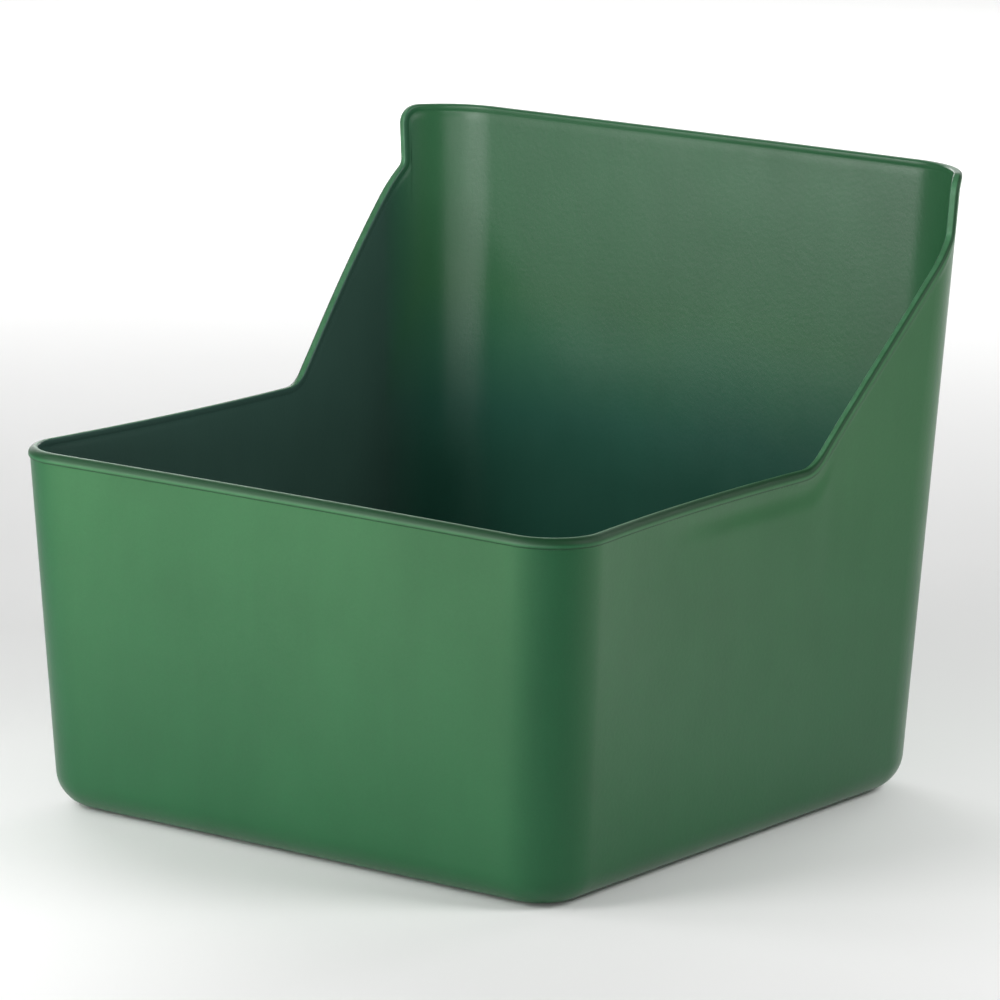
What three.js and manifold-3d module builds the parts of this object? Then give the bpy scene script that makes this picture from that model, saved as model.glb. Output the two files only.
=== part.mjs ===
// High-backed stable feeder: a one-piece moulded plastic tub with a low front, sloping shoulders and
// a tall flat back, hung by two strip-steel hooks that are screwed to blind bosses on its back.
//
// Millimetres, +Z up. Looking at the front, +X is to the right; the front faces -Y and the tall back +Y.
// The origin is the centre of the flat underside.

import * as THREE from "three";
import { LoftGeometry } from "three/addons/geometries/LoftGeometry.js";
import { mergeGeometries, mergeVertices } from "three/addons/utils/BufferGeometryUtils.js";
import Module from "manifold-3d";

const wasm = await Module();
wasm.setup();

// ---------- tub, outside faces ----------
const HALF_WIDTH = 175.5; // half the width across the low rim
const SIDE_DRAFT = 0.055; // side walls lean out by this much per mm of height
const FRONT_Y = 184.3; // front wall at the low rim, ahead of the origin
const FRONT_DRAFT = 0.063;
const BACK_Y = 172.4; // back wall at the underside, behind the origin
const BACK_LEAN = 0.035; // back wall leans back by this much per mm of height
const RIM_Z = 189.7; // height of the front and side rim
const TOP_Z = 328.9; // height of the tall back at its ends
const TOP_CROWN = 0.45; // and this much more in the middle
const SHOULDER_START_Y = 44.8; // where the side rim starts to climb
const EDGE_Y = 152.1; // upright front edge of the tall back
const SHOULDER_TOP_Z = 297; // where the climbing rim meets that edge
const SHOULDER_CROWN = 2.2; // the climbing rim bulges up by this much half way
const FRONT_R = 30.1; // upright front corners
const BACK_R = 44.8; // upright back corners
const TOP_CORNER_R = 10.5; // where the upright edge turns into the top edge
const BASE_R = 17.9; // round between underside and walls
const SIDE_BOW = 8.1; // the long sides pull in by this much at the rim
const FRONT_BOW = 2;
const WALL = 4;
const LIP_OUT = 0.5; // the rim's lip stands out past the wall, outside
const LIP_IN = 0.5; // and inside
const LIP_H = 4.5;

// ---------- hangers, behind the back ----------
const HANGER_X = 85; // each hook sits this far from the middle
const STRIP_W = 25;
const STRIP_T = 4;
const BOSS_H = 6.5; // moulded bosses stand this far off the back wall
const BOSS_R = 7.5;
const SCREW_AT = [208, 243]; // heights of the two screws, measured up the back wall
const WEB_FROM = 192; // a moulded web runs up through each pair of bosses
const WEB_TO = 259;
const WEB_T = 3;
const WEB_H = 5.6;
const GUSSET_SPAN = 31; // and a short one runs across each boss
const LEG_FROM = 196; // lower end of the hook's leg
const HOOK_TOP_Z = 301; // top face of the hook
const RAIL_GAP = 52; // between the leg and the tip, for the rail
const TIP_DROP = 50; // how far the tip hangs below the hook's top face
const TIP_FLARE = 4; // the tip's end turns out by this much
const BEND_R = 5; // inside radius of the strip's bends
const GAP = 0.3; // parts that touch are drawn this far apart
const SHANK_R = 2.4;
const PILOT_R = 2.7;
const PILOT_DEPTH = 8.3; // blind: 2.2 mm of wall is left
const WASHER_R = 6.25;
const WASHER_T = 1.2;
const HEAD_R = 4.75;
const HEAD_H = 3.4;

const V3 = (x, y, z) => new THREE.Vector3(x, y, z);
const lerp = THREE.MathUtils.lerp;

// ---------- the tub's wall as a surface ----------
// q runs round one half of the tub: 0 middle of the back, 1 back corner starts, 2 side starts,
// 3 front corner starts, 4 front starts, 5 middle of the front. inset moves the point into the wall.
function wallPoint(q, z, inset = 0) {
  const halfWidth = HALF_WIDTH + SIDE_DRAFT * (z - RIM_Z) - inset;
  const front = -(FRONT_Y + FRONT_DRAFT * (z - RIM_Z)) + inset;
  const back = BACK_Y + BACK_LEAN * z - inset;
  const rf = Math.max(FRONT_R - inset, 2);
  const rb = Math.max(BACK_R - inset, 2);
  const pull = z <= RIM_Z ? z / RIM_Z : Math.max(0, 1 - (z - RIM_Z) / (TOP_Z - RIM_Z));
  const seg = Math.min(4, Math.floor(q));
  const f = q - seg;
  const bow = 1 - (2 * f - 1) ** 2;
  if (seg === 0) return V3(f * (halfWidth - rb), back, z);
  if (seg === 1) {
    const a = ((1 - f) * Math.PI) / 2;
    return V3(halfWidth - rb + rb * Math.cos(a), back - rb + rb * Math.sin(a), z);
  }
  if (seg === 2) return V3(halfWidth - SIDE_BOW * pull * bow, lerp(back - rb, front + rf, f), z);
  if (seg === 3) {
    const a = (f * Math.PI) / 2;
    return V3(halfWidth - rf + rf * Math.cos(a), front + rf - rf * Math.sin(a), z);
  }
  return V3((1 - f) * (halfWidth - rf), front + FRONT_BOW * pull * (1 - (1 - f) ** 2), z);
}

// q of the point on the side or back corner that has this y at this height
function qAtY(y, z) {
  const front = -(FRONT_Y + FRONT_DRAFT * (z - RIM_Z));
  const back = BACK_Y + BACK_LEAN * z;
  const a = back - BACK_R;
  if (y > a) return 2 - Math.asin(Math.min(1, (y - a) / BACK_R)) / (Math.PI / 2);
  return 2 + (a - y) / (a - (front + FRONT_R));
}

const shoulder = (t) =>
  lerp(RIM_Z, SHOULDER_TOP_Z, t) + SHOULDER_CROWN * 4 * t * (1 - t);

// The rim of one half, from the middle of the back to the middle of the front, as [q, z]
function rimStations() {
  const st = [];
  const qCorner = qAtY(EDGE_Y + TOP_CORNER_R, TOP_Z);
  const top = (q) => TOP_Z + TOP_CROWN * (1 - (q / qCorner) ** 2);
  for (const q of [0, 0.3, 0.55, 0.8, 1]) st.push([q, top(q)]);
  for (let i = 1; i <= 5; i++) st.push([lerp(1, qCorner, i / 5), top(lerp(1, qCorner, i / 5))]);
  for (const deg of [30, 60, 90]) {
    const a = THREE.MathUtils.degToRad(deg);
    const z = TOP_Z - TOP_CORNER_R * (1 - Math.cos(a));
    st.push([qAtY(EDGE_Y + TOP_CORNER_R * (1 - Math.sin(a)), z), z]);
  }
  for (const z of [310, 302]) st.push([qAtY(EDGE_Y, z), z]);
  for (const t of [1, 0.93, 0.8, 0.6, 0.4, 0.2, 0.06]) {
    const y = lerp(SHOULDER_START_Y, EDGE_Y, t);
    st.push([qAtY(y, shoulder(t)), shoulder(t)]);
  }
  st.push([qAtY(SHOULDER_START_Y - 7, RIM_Z), RIM_Z]);
  for (const q of [2.62, 2.81]) st.push([q, RIM_Z]);
  for (let i = 0; i <= 6; i++) st.push([3 + i / 6, RIM_Z]);
  for (const q of [4.33, 4.66, 5]) st.push([q, RIM_Z]);
  return st;
}

// q at the foot of the wall for each rim station: the columns fan out under the upright edge, so that
// no two of them cross
function footOf(stations) {
  const foot = stations.map(([q]) => q);
  const first = stations.findIndex(([, z]) => z < TOP_Z - 0.01) - 2;
  const last = stations.findIndex(([, z]) => z <= SHOULDER_TOP_Z + 0.01) + 4;
  for (let i = first + 1; i < last; i++)
    foot[i] = lerp(foot[first], foot[last], (i - first) / (last - first));
  return foot;
}

// Outside normal and the direction that points out over the rim, at each rim station
function rimFrames(stations) {
  const outer = stations.map(([q, z]) => wallPoint(q, z));
  return stations.map(([q, z], i) => {
    const p = outer[i];
    const outside = p.clone().sub(wallPoint(q, z, 1)).normalize();
    const a = (outer[i - 1] || V3(-outer[1].x, outer[1].y, outer[1].z)).clone();
    const b = (outer[i + 1] || V3(-outer[i - 1].x, outer[i - 1].y, outer[i - 1].z)).clone();
    const along = p.clone().sub(a).normalize().add(b.sub(p).normalize()).normalize();
    const over = new THREE.Vector3().crossVectors(along, outside).normalize();
    return { p, outside, over };
  });
}

// One ring of the shell: the half that is built is mirrored to the other side.
function ring(half) {
  const pts = half.slice();
  for (let i = half.length - 2; i > 0; i--) pts.push(V3(-half[i].x, half[i].y, half[i].z));
  return pts.reverse();
}

function tubGeometry() {
  const stations = rimStations();
  const frames = rimFrames(stations);
  const foot = footOf(stations);
  // where the wall ends and the lip begins, below each rim station
  const neck = stations.map(([q, z], i) => {
    const drop = LIP_H + 0.6;
    const over = frames[i].over;
    const step = 1e-3;
    const dq = wallPoint(q + (q > 4.9 ? -step : step), z).sub(wallPoint(q, z)).divideScalar(q > 4.9 ? -step : step);
    return [q - (drop * over.dot(dq)) / dq.lengthSq(), z - drop * over.z];
  });
  const rows = [];
  const wallRow = (t, inset) =>
    ring(stations.map((_, i) => {
      const zFoot = BASE_R;
      return wallPoint(lerp(foot[i], neck[i][0], t), lerp(zFoot, neck[i][1], t), inset);
    }));
  const baseRow = (deg, radius, inset0, z0) => {
    const a = THREE.MathUtils.degToRad(deg);
    const z = z0 + radius * (1 - Math.cos(a));
    return ring(foot.map((q) => wallPoint(q, z, inset0 + radius * (1 - Math.sin(a)))));
  };
  for (const deg of [0, 22.5, 45, 67.5]) rows.push(baseRow(deg, BASE_R, 0, 0));
  for (const t of [0, 0.35, 0.7, 1]) rows.push(wallRow(t, 0));
  const lip = [
    [-LIP_OUT, -LIP_H + 0.5],
    [-LIP_OUT, -3.2],
    [-0.1, -1.7],
    [0.9, -0.6],
    [2.3, 0],
    [WALL + LIP_IN - 0.8, 0],
    [WALL + LIP_IN, -0.8],
    [WALL + LIP_IN, -LIP_H + 2],
  ];
  for (const [inset, up] of lip)
    rows.push(ring(stations.map(([q, z], i) => wallPoint(q, z, inset).addScaledVector(frames[i].over, up))));
  for (const t of [1, 0.7, 0.35, 0]) rows.push(wallRow(t, WALL));
  for (const deg of [60, 30, 0]) rows.push(baseRow(deg, BASE_R - WALL, WALL, WALL));
  const skin = new LoftGeometry(rows, { closed: true, capStart: true });
  const floor = new THREE.ShapeGeometry(
    new THREE.Shape(rows[rows.length - 1].map((p) => new THREE.Vector2(p.x, p.y)))
  ).translate(0, 0, WALL);
  return joined([skin, floor]);
}

// ---------- booleans ----------
function joined(parts) {
  const bare = parts.map((g) => {
    const c = (g.index ? g.toNonIndexed() : g.clone());
    for (const name of Object.keys(c.attributes)) if (name !== "position") c.deleteAttribute(name);
    return c;
  });
  return mergeVertices(mergeGeometries(bare), 1e-3);
}

function solid(geometry) {
  const g = joined([geometry]);
  return new wasm.Manifold(
    new wasm.Mesh({
      numProp: 3,
      vertProperties: new Float32Array(g.attributes.position.array),
      triVerts: new Uint32Array(g.index.array),
    })
  );
}

function geometryOf(manifold) {
  const m = manifold.getMesh();
  const g = new THREE.BufferGeometry();
  g.setAttribute("position", new THREE.BufferAttribute(new Float32Array(m.vertProperties), 3));
  g.setIndex(new THREE.BufferAttribute(new Uint32Array(m.triVerts), 1));
  g.computeVertexNormals();
  return g;
}

// ---------- the frame of the back wall ----------
// x across, off = distance behind the wall's outside face, up = distance up the wall from its foot
const LEAN = Math.atan(BACK_LEAN);
const wallFrame = new THREE.Matrix4()
  .makeTranslation(0, BACK_Y, 0)
  .multiply(new THREE.Matrix4().makeRotationX(-LEAN));
const onBack = (geometry) => geometry.applyMatrix4(wallFrame);

// a cylinder whose axis is square to the back wall, from one offset to another
const peg = (r0, r1, x, up, from, to, sides) =>
  onBack(
    new THREE.CylinderGeometry(r1, r0, to - from, sides)
      .translate(0, (from + to) / 2, 0)
      .translate(x, 0, up)
  );

function backMoulding(x) {
  const web = (wide, tall, up) =>
    onBack(new THREE.BoxGeometry(wide, WEB_H + 2, tall).translate(x, (WEB_H - 2) / 2, up));
  const pieces = [web(WEB_T, WEB_TO - WEB_FROM, (WEB_FROM + WEB_TO) / 2)];
  for (const up of SCREW_AT) {
    pieces.push(peg(BOSS_R + 1, BOSS_R, x, up, -2, BOSS_H, 24));
    pieces.push(web(GUSSET_SPAN, WEB_T, up));
  }
  return pieces;
}

const plastic = new THREE.MeshStandardMaterial({ color: 0x4c7d56, roughness: 0.42, metalness: 0 });
const zinc = () => new THREE.MeshStandardMaterial({ color: 0xa9adb0, roughness: 0.38, metalness: 0.9 });

const feeder = new THREE.Group();
feeder.name = "feeder";
const put = (name, geometry, material) => {
  const mesh = new THREE.Mesh(geometry, material);
  mesh.name = name;
  feeder.add(mesh);
};

// ---------- shell ----------
let shell = solid(tubGeometry());
for (const x of [-HANGER_X, HANGER_X]) {
  for (const g of backMoulding(x)) shell = shell.add(solid(g));
  for (const up of SCREW_AT)
    shell = shell.subtract(solid(peg(PILOT_R, PILOT_R, x, up, BOSS_H - PILOT_DEPTH, BOSS_H + 2, 20)));
}
put("feeder_shell", geometryOf(shell), plastic);

// ---------- hooks ----------
// Side view of the strip: its front face, from the leg's foot up, over the rail and down the tip.
function stripOutline() {
  const point = (off, up) => {
    const p = V3(0, off, up).applyMatrix4(wallFrame);
    return new THREE.Vector2(p.y, p.z);
  };
  const off = BOSS_H + GAP;
  const foot = point(off, LEG_FROM);
  const legTop = point(off, HOOK_TOP_Z);
  const lean = legTop.clone().sub(foot).normalize();
  const atTop = foot.clone().addScaledVector(lean, (HOOK_TOP_Z - foot.y) / lean.y);
  const tipFront = atTop.x + STRIP_T + RAIL_GAP; // inner face of the tip
  const corners = [
    foot,
    atTop,
    new THREE.Vector2(tipFront + STRIP_T, HOOK_TOP_Z),
    new THREE.Vector2(tipFront + STRIP_T, HOOK_TOP_Z - TIP_DROP + 16),
    new THREE.Vector2(tipFront + STRIP_T + TIP_FLARE, HOOK_TOP_Z - TIP_DROP),
  ];
  const radii = [0, BEND_R + STRIP_T, BEND_R + STRIP_T, 14, 0];
  const line = [corners[0]];
  for (let i = 1; i < corners.length - 1; i++) {
    const a = corners[i - 1].clone().sub(corners[i]).normalize();
    const b = corners[i + 1].clone().sub(corners[i]).normalize();
    const half = Math.acos(THREE.MathUtils.clamp(a.dot(b), -1, 1)) / 2;
    const back = radii[i] / Math.tan(half);
    const centre = corners[i].clone().addScaledVector(a.clone().add(b).normalize(), radii[i] / Math.sin(half));
    const p0 = corners[i].clone().addScaledVector(a, back);
    const p1 = corners[i].clone().addScaledVector(b, back);
    const steps = i === 3 ? 2 : 6;
    const a0 = Math.atan2(p0.y - centre.y, p0.x - centre.x);
    let a1 = Math.atan2(p1.y - centre.y, p1.x - centre.x);
    while (a1 - a0 > Math.PI) a1 -= 2 * Math.PI;
    while (a1 - a0 < -Math.PI) a1 += 2 * Math.PI;
    for (let k = 0; k <= steps; k++) {
      const t = lerp(a0, a1, k / steps);
      line.push(new THREE.Vector2(centre.x + radii[i] * Math.cos(t), centre.y + radii[i] * Math.sin(t)));
    }
  }
  line.push(corners[corners.length - 1]);
  // the other face of the strip lies one thickness to the right of the way the line runs
  const inner = line.map((p, i) => {
    const a = line[Math.max(0, i - 1)];
    const b = line[Math.min(line.length - 1, i + 1)];
    const d1 = p.clone().sub(a).normalize();
    const d2 = b.clone().sub(p).normalize();
    const d = d1.lengthSq() < 0.5 ? d2 : d2.lengthSq() < 0.5 ? d1 : d1.add(d2).normalize();
    return new THREE.Vector2(p.x + d.y * STRIP_T, p.y - d.x * STRIP_T);
  });
  return [...line, ...inner.reverse()];
}

const stripShape = new THREE.Shape(stripOutline());
function hookGeometry(x) {
  // extruded along its own +Z, then turned so that the extrusion runs along +X
  const g = new THREE.ExtrudeGeometry(stripShape, { depth: STRIP_W, bevelEnabled: false });
  const turn = new THREE.Matrix4().makeBasis(V3(0, 1, 0), V3(0, 0, 1), V3(1, 0, 0));
  g.applyMatrix4(turn).translate(x - STRIP_W / 2, 0, 0);
  let body = solid(g);
  for (const up of SCREW_AT)
    body = body.subtract(solid(peg(2.85, 2.85, x, up, BOSS_H - 2, BOSS_H + STRIP_T + 4, 20)));
  return geometryOf(body);
}

// ---------- fasteners ----------
const washerFrom = BOSS_H + GAP + STRIP_T + GAP;
const headFrom = washerFrom + WASHER_T + GAP;
const washerGeometry = (x, up) => {
  const profile = [
    [2.75, 0],
    [WASHER_R - 0.2, 0],
    [WASHER_R, 0.2],
    [WASHER_R, WASHER_T - 0.2],
    [WASHER_R - 0.2, WASHER_T],
    [2.75, WASHER_T],
    [2.75, 0],
  ].map(([r, y]) => new THREE.Vector2(r, y));
  return onBack(new THREE.LatheGeometry(profile, 24).translate(x, washerFrom, up));
};
const screwGeometry = (x, up) => {
  const tip = BOSS_H - PILOT_DEPTH + 0.5 - headFrom;
  const profile = [
    [0, tip],
    [1.2, tip + 0.2],
    [SHANK_R, tip + 2.6],
    [SHANK_R, 0],
    [HEAD_R, 0],
    [HEAD_R, HEAD_H * 0.45],
    [HEAD_R * 0.86, HEAD_H * 0.8],
    [HEAD_R * 0.5, HEAD_H],
    [0, HEAD_H],
  ].map(([r, y]) => new THREE.Vector2(r, y));
  const body = solid(onBack(new THREE.LatheGeometry(profile, 20).translate(x, headFrom, up)));
  // cross recess in the head
  let cut = body;
  for (const turn of [0, Math.PI / 2])
    cut = cut.subtract(
      solid(
        onBack(
          new THREE.BoxGeometry(5, 4, 1.1)
            .rotateY(turn)
            .translate(x, headFrom + HEAD_H - 1.9 + 2, up)
        )
      )
    );
  return geometryOf(cut);
};

for (const [side, x] of [["left", -HANGER_X], ["right", HANGER_X]]) {
  put(`hanger_${side}`, hookGeometry(x), zinc());
  for (const [where, up] of [["lower", SCREW_AT[0]], ["upper", SCREW_AT[1]]]) {
    put(`hanger_washer_${side}_${where}`, washerGeometry(x, up), zinc());
    put(`hanger_screw_${side}_${where}`, screwGeometry(x, up), zinc());
  }
}

export default feeder;
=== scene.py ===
import math

import bmesh
import bpy
import numpy as np
from mathutils import Matrix, Vector
from mathutils.geometry import delaunay_2d_cdt
from mathutils.kdtree import KDTree


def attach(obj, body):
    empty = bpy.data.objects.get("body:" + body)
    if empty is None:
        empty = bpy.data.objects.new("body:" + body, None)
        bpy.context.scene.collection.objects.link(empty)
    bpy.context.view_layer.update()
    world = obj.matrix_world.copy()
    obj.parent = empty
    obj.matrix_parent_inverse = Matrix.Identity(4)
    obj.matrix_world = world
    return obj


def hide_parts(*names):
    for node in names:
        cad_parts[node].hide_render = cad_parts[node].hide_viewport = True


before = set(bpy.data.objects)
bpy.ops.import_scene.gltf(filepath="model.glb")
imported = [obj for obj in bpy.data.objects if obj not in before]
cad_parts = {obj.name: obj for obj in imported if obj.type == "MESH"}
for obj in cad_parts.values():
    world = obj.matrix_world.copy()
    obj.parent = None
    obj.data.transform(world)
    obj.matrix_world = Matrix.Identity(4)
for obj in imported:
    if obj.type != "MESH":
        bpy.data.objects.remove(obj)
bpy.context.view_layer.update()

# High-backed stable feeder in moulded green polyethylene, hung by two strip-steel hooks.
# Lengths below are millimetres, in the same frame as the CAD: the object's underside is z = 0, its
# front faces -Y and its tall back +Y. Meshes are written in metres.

MM = 0.001
scene = bpy.context.scene

# ------------------------------------------------------------------ camera
# first, at the angle from which the object is seen
AZ, EL, ROLL = math.radians(35.974), math.radians(12.116), math.radians(1.088)
DISTANCE, TARGET, LENS = 3.09815, Vector((0.003004, 0.000476, 0.157172)), 215.141

back = Vector((math.sin(AZ) * math.cos(EL), -math.cos(AZ) * math.cos(EL), math.sin(EL)))
right = (-back).cross(Vector((0, 0, 1))).normalized()
up = right.cross(-back)
right, up = (
    right * math.cos(ROLL) + up * math.sin(ROLL),
    up * math.cos(ROLL) - right * math.sin(ROLL),
)
cam_data = bpy.data.cameras.new("camera")
cam_data.lens, cam_data.sensor_width = LENS, 36.0
cam_data.clip_start, cam_data.clip_end = 0.05, 80.0
cam = bpy.data.objects.new("camera", cam_data)
scene.collection.objects.link(cam)
at = TARGET + back * DISTANCE
cam.matrix_world = Matrix(
    (
        (right.x, up.x, back.x, at.x),
        (right.y, up.y, back.y, at.y),
        (right.z, up.z, back.z, at.z),
        (0, 0, 0, 1),
    )
)
scene.camera = cam
scene.view_settings.view_transform = "Standard"
scene.view_settings.look = "None"

# ------------------------------------------------------------------ the tub's walls, as in the CAD
HALF_WIDTH, SIDE_DRAFT = 175.5, 0.055
FRONT_Y, FRONT_DRAFT = 184.3, 0.063
BACK_Y, BACK_LEAN = 172.4, 0.035
RIM_Z, TOP_Z, TOP_CROWN = 189.7, 328.9, 0.45
SHOULDER_START_Y, EDGE_Y, SHOULDER_TOP_Z, SHOULDER_CROWN = 44.8, 152.1, 297.0, 2.2
FRONT_R, BACK_R, TOP_CORNER_R, BASE_R = 30.1, 44.8, 10.5, 17.9
SIDE_BOW, FRONT_BOW, WALL = 8.1, 2.0, 4.0
NECK = 5.4  # the wall ends this far below the rim, where its lip begins
PULL_BLEND = 28.0


def pull(z):
    """How much of the walls' inward bow is left at height z: it peaks at the low rim, with no crease there."""
    s1, s2, w = 1 / RIM_Z, -1 / (TOP_Z - RIM_Z), PULL_BLEND
    d = z - RIM_Z
    lin = np.where(d <= 0, 1 + s1 * d, 1 + s2 * d)
    mid = 1 + (s1 + s2) / 2 * d + (s2 - s1) / (4 * w) * (d * d + w * w)
    peak = 1 + (s2 - s1) * w / 4
    return np.clip(np.where(np.abs(d) < w, mid, lin), 0, None) / peak


def plan(z, inset):
    """The plan of the tub at a height. The corner arcs turn a little past square, so that they run into the bowed walls without a crease."""
    hw = HALF_WIDTH + SIDE_DRAFT * (z - RIM_Z) - inset
    yf = -(FRONT_Y + FRONT_DRAFT * (z - RIM_Z)) + inset
    yb = BACK_Y + BACK_LEAN * z - inset
    rf, rb = np.maximum(FRONT_R - inset, 2.0), np.maximum(BACK_R - inset, 2.0)
    k = pull(z)
    length = (yb - rb) - (yf + rf)
    d = np.zeros_like(k)
    e = np.zeros_like(k)
    for _ in range(5):
        bow = SIDE_BOW * k - 0.5 * (rf + rb) * (1 - np.cos(d))
        d = np.arctan(4 * bow / (length - (rf + rb) * np.sin(d)))
        fbow = FRONT_BOW * k - rf * (1 - np.cos(e))
        e = np.arctan(2 * fbow / (hw - rf - rf * np.sin(e)))
    return hw, yf, yb, rf, rb, bow, d, fbow, e


def wall(q, z, inset=0.0):
    """q runs round one half: 0 middle of the back, 1 back corner, 2 side, 3 front corner, 4 front, 5 middle of the front."""
    q, z, inset = np.broadcast_arrays(*(np.asarray(v, float) for v in (q, z, inset)))
    hw, yf, yb, rf, rb, bow, d, fbow, e = plan(z, inset)
    seg = np.clip(np.floor(q), 0, 4)
    f = q - seg
    a1 = (1 - f) * np.pi / 2 - f * d
    a3 = d * (1 - f) - (np.pi / 2 + e) * f
    xa, xb = hw - rb + rb * np.cos(d), hw - rf + rf * np.cos(d)
    ya, yc = yb - rb - rb * np.sin(d), yf + rf + rf * np.sin(d)
    x4, y4 = hw - rf - rf * np.sin(e), yf + rf - rf * np.cos(e)
    x = np.select(
        [seg == 0, seg == 1, seg == 2, seg == 3],
        [
            f * (hw - rb),
            hw - rb + rb * np.cos(a1),
            xa + (xb - xa) * f - bow * (1 - (2 * f - 1) ** 2),
            hw - rf + rf * np.cos(a3),
        ],
        (1 - f) * x4,
    )
    y = np.select(
        [seg == 0, seg == 1, seg == 2, seg == 3],
        [yb, yb - rb + rb * np.sin(a1), ya + (yc - ya) * f, yf + rf + rf * np.sin(a3)],
        y4 + fbow * (1 - (1 - f) ** 2),
    )
    return np.stack([x, y, z], -1)


def q_at(y, z):
    """q of the point on the side or the back corner that has this y at this height"""
    y, z = np.asarray(y, float), np.asarray(z, float)
    hw, yf, yb, rf, rb, bow, d, fbow, e = plan(z, np.zeros_like(z))
    ya, yc = yb - rb - rb * np.sin(d), yf + rf + rf * np.sin(d)
    a = np.arcsin(np.clip((y - (yb - rb)) / rb, -1, 1))
    return np.where(y > ya, 1 + (np.pi / 2 - a) / (np.pi / 2 + d), 2 + (ya - y) / (ya - yc))


def bezier(a, p, b, n):
    t = np.linspace(0, 1, n + 1)[:, None]
    return (1 - t) ** 2 * a + 2 * t * (1 - t) * p + t * t * b


def rim_half():
    """The rim of one half as q, z, from the middle of the back to the middle of the front, and how far each point is along it"""
    q_corner = float(q_at(EDGE_Y + TOP_CORNER_R, TOP_Z))
    rows = [(q, TOP_Z + TOP_CROWN * (1 - (q / q_corner) ** 2)) for q in np.linspace(0, 1, 45)[:-1]]
    rows += [(q, TOP_Z + TOP_CROWN * (1 - (q / q_corner) ** 2)) for q in np.linspace(1, q_corner, 25)]
    side = []
    for a in np.radians(np.linspace(0, 90, 13)[1:]):
        side.append((EDGE_Y + TOP_CORNER_R * (1 - math.sin(a)), TOP_Z - TOP_CORNER_R * (1 - math.cos(a))))
    t = np.linspace(1, 0, 401)
    slope = np.stack(
        [
            SHOULDER_START_Y + (EDGE_Y - SHOULDER_START_Y) * t,
            RIM_Z + (SHOULDER_TOP_Z - RIM_Z) * t + SHOULDER_CROWN * 4 * t * (1 - t),
        ],
        1,
    )
    run = np.concatenate([[0], np.cumsum(np.linalg.norm(np.diff(slope, axis=0), axis=1))])
    on_slope = lambda s: np.array([np.interp(s, run, slope[:, 0]), np.interp(s, run, slope[:, 1])])
    notch, foot = 2.6, 9.0
    side += [(EDGE_Y, z) for z in np.linspace(TOP_Z - TOP_CORNER_R, SHOULDER_TOP_Z + notch, 9)[1:-1]]
    side += list(map(tuple, bezier(np.array([EDGE_Y, SHOULDER_TOP_Z + notch]), slope[0], on_slope(notch), 8)))
    side += [tuple(on_slope(s)) for s in np.linspace(notch, run[-1] - foot, 58)[1:-1]]
    side += list(map(tuple, bezier(on_slope(run[-1] - foot), slope[-1], np.array([SHOULDER_START_Y - foot, RIM_Z]), 12)))
    side = np.array(side)
    rows += list(zip(q_at(side[:, 0], side[:, 1]), side[:, 1]))
    rows += [(q, RIM_Z) for q in np.linspace(rows[-1][0], 3, 60)[1:]]
    rows += [(q, RIM_Z) for q in np.linspace(3, 4, 33)[1:]]
    rows += [(q, RIM_Z) for q in np.linspace(4, 5, 41)[1:]]
    rows = np.array(rows, float)
    pts = wall(rows[:, 0], rows[:, 1])
    along = np.concatenate([[0], np.cumsum(np.linalg.norm(np.diff(pts, axis=0), axis=1))])
    return rows[:, 0], rows[:, 1], along


def rim_frames(q, z):
    p = wall(q, z)
    outside = p - wall(q, z, 1.0)
    outside /= np.linalg.norm(outside, axis=1)[:, None]
    flip = np.array([-1.0, 1, 1])
    ends = np.concatenate([[p[1] * flip], p, [p[-2] * flip]])
    step = np.diff(ends, axis=0)
    step /= np.linalg.norm(step, axis=1)[:, None]
    along = step[:-1] + step[1:]
    along /= np.linalg.norm(along, axis=1)[:, None]
    over = np.cross(along, outside)
    over /= np.linalg.norm(over, axis=1)[:, None]
    return p, outside, over


def low_rim_profile():
    """The low rim in section, as (distance into the wall, distance up), from the outside over the top to the inside"""
    a = np.radians(np.linspace(0, 90, 11))
    rows = [(0.0, -5.25), (-0.08, -5.05), (-0.30, -4.80), (-0.46, -4.52), (-0.5, -4.15)]
    rows += [(3.3 - 3.8 * math.cos(t), -3.6 + 3.6 * math.sin(t)) for t in a]
    rows += [(3.42, 0.0)]
    rows += [(3.5 + 1.0 * math.sin(t), -1.0 + 1.0 * math.cos(t)) for t in np.radians(np.linspace(0, 90, 8))]
    return np.array(rows + [(4.5, -1.7), (4.46, -2.4), (4.30, -2.95), (4.10, -3.4), (4.0, -4.0)])


def upper_rim_profile():
    """The same, thinner, round the shoulders and the tall back"""
    rows = [(0.0, -4.30), (-0.06, -4.10), (-0.21, -3.85), (-0.32, -3.55), (-0.35, -3.15)]
    rows += [(1.25 - 1.6 * math.cos(t), -1.6 + 1.6 * math.sin(t)) for t in np.radians(np.linspace(0, 90, 11))]
    rows += [(2.2, 0.0)]
    rows += [(3.1 + 1.2 * math.sin(t), -1.2 + 1.2 * math.cos(t)) for t in np.radians(np.linspace(0, 90, 8))]
    return np.array(rows + [(4.3, -1.8), (4.28, -2.4), (4.18, -2.9), (4.06, -3.4), (4.0, -4.0)])


def ease(x):
    x = np.clip(x, 0, 1)
    return x * x * (3 - 2 * x)


def ring(half):
    flip = np.array([-1.0, 1, 1])
    return np.concatenate([half, half[-2:0:-1] * flip])[::-1]


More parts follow.
